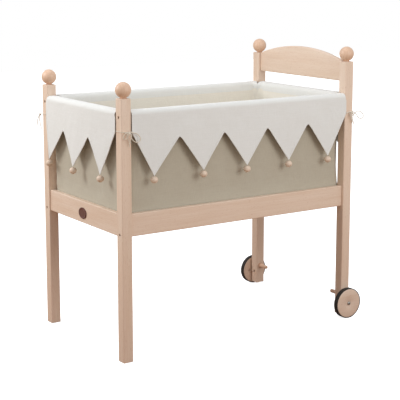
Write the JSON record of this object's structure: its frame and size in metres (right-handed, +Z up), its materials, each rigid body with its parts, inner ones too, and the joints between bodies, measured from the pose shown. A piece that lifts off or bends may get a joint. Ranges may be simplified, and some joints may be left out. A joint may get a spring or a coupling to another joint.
{
  "type": "bassinet on stand",
  "caption": "Baby bassinet: a fabric bag and liner with a pointed, beaded valance, hung in a four-post wooden stand with ball finials, an arched headboard and two braked wheels.",
  "frame": {"origin": "on the floor, midway along and across the bassinet's overall box without its ties", "axes": "+X towards the headboard and wheels, +Y across the bed, +Z up"},
  "size_m": [0.9787, 0.589, 0.956],
  "materials": {
    "beech": "planed pale beech under clear satin lacquer",
    "turned_beech": "turned beech under clear satin lacquer, slightly redder than the frame",
    "bead_wood": "small turned wooden beads, waxed",
    "plywood": "sanded birch plywood",
    "dark_wood": "dark stained hardwood, satin",
    "khaki_cotton": "plain-woven greyish beige cotton",
    "cream_cotton": "plain-woven off-white cotton, hemmed edges",
    "mattress_ticking": "quilted white cotton ticking over foam",
    "tie_tape": "rolled cream cotton tie",
    "rubber": "matt black rubber ring",
    "steel": "zinc-plated steel"
  },
  "bodies": {
    "frame": {"foot_post_near": "beech", "foot_finial_near": "turned_beech", "foot_post_far": "beech", "foot_finial_far": "turned_beech", "head_post_near": "beech", "head_finial_near": "turned_beech", "head_post_far": "beech", "head_finial_far": "turned_beech", "lower_rail_near": "beech", "upper_rail_near": "beech", "ledge_near": "beech", "lower_rail_far": "beech", "upper_rail_far": "beech", "ledge_far": "beech", "lower_rail_foot": "beech", "upper_rail_foot": "beech", "lower_rail_head": "beech", "upper_rail_head": "beech", "headboard": "beech", "oval_badge": "dark_wood", "outer_bag": "khaki_cotton", "base_board": "plywood", "liner": "cream_cotton", "mattress": "mattress_ticking", "valance_near": "cream_cotton", "bead_near_1": "bead_wood", "bead_near_2": "bead_wood", "bead_near_3": "bead_wood", "bead_near_4": "bead_wood", "bead_near_5": "bead_wood", "valance_far": "cream_cotton", "bead_far_1": "bead_wood", "bead_far_2": "bead_wood", "bead_far_3": "bead_wood", "bead_far_4": "bead_wood", "bead_far_5": "bead_wood", "valance_head": "cream_cotton", "bead_head_1": "bead_wood", "bead_head_2": "bead_wood", "bead_head_3": "bead_wood", "valance_foot": "cream_cotton", "bead_foot_1": "bead_wood", "bead_foot_2": "bead_wood", "bead_foot_3": "bead_wood", "tie_foot_near": "tie_tape", "tie_foot_far": "tie_tape", "tie_head_near": "tie_tape", "tie_head_far": "tie_tape", "axle_bolt_near": "steel", "spacer_near": "steel", "barrel_nut_near": "steel", "axle_bolt_far": "steel", "spacer_far": "steel", "barrel_nut_far": "steel"},
    "wheel_near": {"wheel_disc_near": "beech", "tyre_near": "rubber"},
    "wheel_far": {"wheel_disc_far": "beech", "tyre_far": "rubber"},
    "brake_peg_near": {"brake_peg_near": "turned_beech"},
    "brake_peg_far": {"brake_peg_far": "turned_beech"}
  },
  "joints": [
    {"name": "wheel_near_spin", "type": "hinge", "parent": "frame", "child": "wheel_near", "pos_m": [0.4266, -0.28125, 0.0535], "axis": [0, 1, 0], "continuous": true},
    {"name": "wheel_far_spin", "type": "hinge", "parent": "frame", "child": "wheel_far", "pos_m": [0.4266, 0.28125, 0.0535], "axis": [0, 1, 0], "continuous": true},
    {"name": "brake_peg_near_slide", "type": "slide", "parent": "frame", "child": "brake_peg_near", "axis": [0, -1, 0], "range_m": [0, 0.011]},
    {"name": "brake_peg_far_slide", "type": "slide", "parent": "frame", "child": "brake_peg_far", "axis": [0, 1, 0], "range_m": [0, 0.011]}
  ]
}
